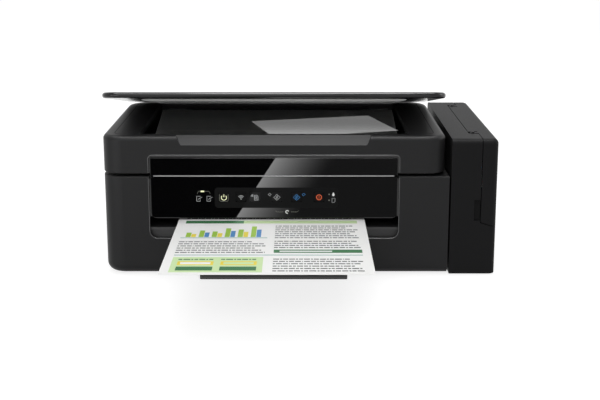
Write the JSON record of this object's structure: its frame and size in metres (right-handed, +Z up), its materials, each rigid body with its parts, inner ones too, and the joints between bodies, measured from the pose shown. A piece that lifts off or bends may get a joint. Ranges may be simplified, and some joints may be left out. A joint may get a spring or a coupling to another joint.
{
  "type": "inkjet printer",
  "caption": "Compact inkjet all-in-one with flatbed scanner under a raised lid, glossy front panel, telescoping output tray and a side ink tank unit with a hinged cover.",
  "frame": {"origin": "on the surface it stands on, at the middle of the box that holds the printer with its tray out", "axes": "+X to the right seen from the front, +Y towards the rear, +Z up"},
  "size_m": [0.445, 0.512, 0.2094],
  "materials": {
    "case_grey": "fine satin texture, dark grey",
    "tank_grey": "fine satin texture, dark grey",
    "lid_black": "dark grey, glossy rounded edges",
    "panel_black": "piano black, glossy",
    "button_black": "black, satin",
    "tray_black": "black, moulded",
    "inner_black": "black, moulded",
    "steel": "zinc plated sheet and ground bar",
    "rubber": "matte black rubber",
    "glass": "clear float glass",
    "mat_white": "white foam mat",
    "paper": null,
    "board_green": "solder masked board",
    "gear_white": "moulded white gear plastic",
    "motor_metal": "plated motor can",
    "port_metal": "plated socket shell",
    "tube_clear": "flexible clear tube",
    "ink_black": "clear tank holding black ink",
    "ink_cyan": "clear tank holding cyan ink",
    "ink_magenta": "clear tank holding magenta ink",
    "ink_yellow": "clear tank holding yellow ink",
    "cap_black": "black caps"
  },
  "bodies": {
    "base": {"rubber_feet": "rubber", "base_pan": "inner_black", "lower_case": "case_grey", "case_screws": "steel", "control_panel": "panel_black", "panel_board": "board_green", "tank_housing": "tank_grey", "tank_black": "ink_black", "tank_cyan": "ink_cyan", "tank_magenta": "ink_magenta", "tank_yellow": "ink_yellow", "tank_caps": "cap_black", "ink_tubes": "tube_clear", "tray_deck": "inner_black", "main_frame": "steel", "shaft_bushes": "gear_white", "feed_motor": "motor_metal", "carriage_motor": "motor_metal", "carriage_belt": "rubber", "carriage_rod": "steel", "platen": "inner_black", "capping_station": "inner_black", "feeder_frame": "case_grey", "power_supply": "motor_metal", "power_inlet": "inner_black", "main_board": "board_green", "usb_port": "port_metal"},
    "scanner_unit": {"scanner_case": "case_grey", "panel_header": "panel_black", "scanner_tub": "inner_black", "scanner_glass": "glass", "scan_rod": "steel", "lid_hinges": "inner_black"},
    "scan_carriage": {"scan_head": "inner_black"},
    "lid": {"document_lid": "lid_black", "lid_mat": "mat_white"},
    "cover": {"tank_cover": "tank_grey"},
    "tray": {"output_tray": "tray_black"},
    "extension": {"tray_extension": "tray_black"},
    "tip": {"tray_tip": "tray_black"},
    "sheet": {"printed_sheet": "paper"},
    "carriage": {"print_carriage": "inner_black", "print_head": "motor_metal"},
    "drive_wheel": {"drive_pulley": "gear_white"},
    "idler_wheel": {"idler_pulley": "gear_white"},
    "feed_shaft": {"feed_roller": "rubber", "feed_gear": "gear_white"},
    "exit_shaft": {"exit_roller": "rubber", "exit_gear": "gear_white"},
    "idler_cog": {"idler_gear": "gear_white"},
    "pinion": {"motor_pinion": "gear_white"},
    "pickup": {"pickup_roller": "rubber"},
    "support": {"paper_support": "case_grey"},
    "guide": {"edge_guide": "inner_black"},
    "power_key": {"power_button": "button_black"},
    "wireless_key": {"wireless_button": "button_black"},
    "network_key": {"network_button": "button_black"},
    "mono_copy_key": {"mono_copy_button": "button_black"},
    "colour_copy_key": {"colour_copy_button": "button_black"},
    "stop_key": {"stop_button": "button_black"}
  },
  "joints": [
    {"name": "scanner_lift", "type": "hinge", "parent": "base", "child": "scanner_unit", "pos_m": [-0.02925, 0.21, 0.121], "axis": [-1, 0, 0], "range_deg": [0, 28]},
    {"name": "lid_swing", "type": "hinge", "parent": "scanner_unit", "child": "lid", "pos_m": [-0.02925, 0.192, 0.16465], "axis": [-1, 0, 0], "range_deg": [-10, 55]},
    {"name": "scan_slide", "type": "slide", "parent": "scanner_unit", "child": "scan_carriage", "axis": [1, 0, 0], "range_m": [0, 0.315]},
    {"name": "cover_swing", "type": "hinge", "parent": "base", "child": "cover", "pos_m": [0.198, 0.0855, 0.1555], "axis": [0, -1, 0], "range_deg": [0, 100]},
    {"name": "tray_slide", "type": "slide", "parent": "base", "child": "tray", "axis": [0, 1, 0], "range_m": [0, 0.066]},
    {"name": "extension_slide", "type": "slide", "parent": "tray", "child": "extension", "axis": [0, 1, 0], "range_m": [0, 0.066]},
    {"name": "tip_slide", "type": "slide", "parent": "extension", "child": "tip", "axis": [0, 1, 0], "range_m": [0, 0.074]},
    {"name": "sheet_slide", "type": "slide", "parent": "base", "child": "sheet", "axis": [0, -1, 0], "range_m": [-0.085, 0.08]},
    {"name": "carriage_slide", "type": "slide", "parent": "base", "child": "carriage", "axis": [-1, 0, 0], "range_m": [0, 0.26]},
    {"name": "drive_wheel_spin", "type": "hinge", "parent": "base", "child": "drive_wheel", "pos_m": [0.139, 0.158, 0.098], "axis": [0, 1, 0], "continuous": true},
    {"name": "idler_wheel_spin", "type": "hinge", "parent": "base", "child": "idler_wheel", "pos_m": [-0.1705, 0.158, 0.098], "axis": [0, 1, 0], "continuous": true},
    {"name": "feed_shaft_spin", "type": "hinge", "parent": "base", "child": "feed_shaft", "pos_m": [-0.1995, 0.142, 0.0582], "axis": [1, 0, 0], "continuous": true},
    {"name": "idler_cog_spin", "type": "hinge", "parent": "base", "child": "idler_cog", "pos_m": [-0.1995, 0.099, 0.0582], "axis": [1, 0, 0], "continuous": true},
    {"name": "exit_shaft_spin", "type": "hinge", "parent": "base", "child": "exit_shaft", "pos_m": [-0.1995, 0.056, 0.0582], "axis": [1, 0, 0], "continuous": true},
    {"name": "pinion_spin", "type": "hinge", "parent": "base", "child": "pinion", "pos_m": [-0.1995, 0.1618, 0.0384], "axis": [1, 0, 0], "continuous": true},
    {"name": "pickup_spin", "type": "hinge", "parent": "base", "child": "pickup", "pos_m": [-0.032, 0.19, 0.087], "axis": [1, 0, 0], "continuous": true},
    {"name": "support_slide", "type": "slide", "parent": "base", "child": "support", "axis": [0, 0, 1], "range_m": [0, 0.085]},
    {"name": "guide_slide", "type": "slide", "parent": "base", "child": "guide", "axis": [-1, 0, 0], "range_m": [0, 0.11]},
    {"name": "power_press", "type": "slide", "parent": "base", "child": "power_key", "axis": [0, 1, 0], "range_m": [0, 0.0008], "stiffness_N_per_m": 600},
    {"name": "wireless_press", "type": "slide", "parent": "base", "child": "wireless_key", "axis": [0, 1, 0], "range_m": [0, 0.0008], "stiffness_N_per_m": 600},
    {"name": "network_press", "type": "slide", "parent": "base", "child": "network_key", "axis": [0, 1, 0], "range_m": [0, 0.0008], "stiffness_N_per_m": 600},
    {"name": "mono_copy_press", "type": "slide", "parent": "base", "child": "mono_copy_key", "axis": [0, 1, 0], "range_m": [0, 0.0008], "stiffness_N_per_m": 600},
    {"name": "colour_copy_press", "type": "slide", "parent": "base", "child": "colour_copy_key", "axis": [0, 1, 0], "range_m": [0, 0.0008], "stiffness_N_per_m": 600},
    {"name": "stop_press", "type": "slide", "parent": "base", "child": "stop_key", "axis": [0, 1, 0], "range_m": [0, 0.0008], "stiffness_N_per_m": 600}
  ],
  "couplings": [
    {"joint": "drive_wheel_spin", "follows": "carriage_slide", "rad_per_m": 158.73},
    {"joint": "idler_wheel_spin", "follows": "carriage_slide", "rad_per_m": 158.73},
    {"joint": "idler_cog_spin", "follows": "feed_shaft_spin", "ratio": -0.86957},
    {"joint": "exit_shaft_spin", "follows": "feed_shaft_spin", "ratio": 1},
    {"joint": "pinion_spin", "follows": "feed_shaft_spin", "ratio": -2.5}
  ]
}
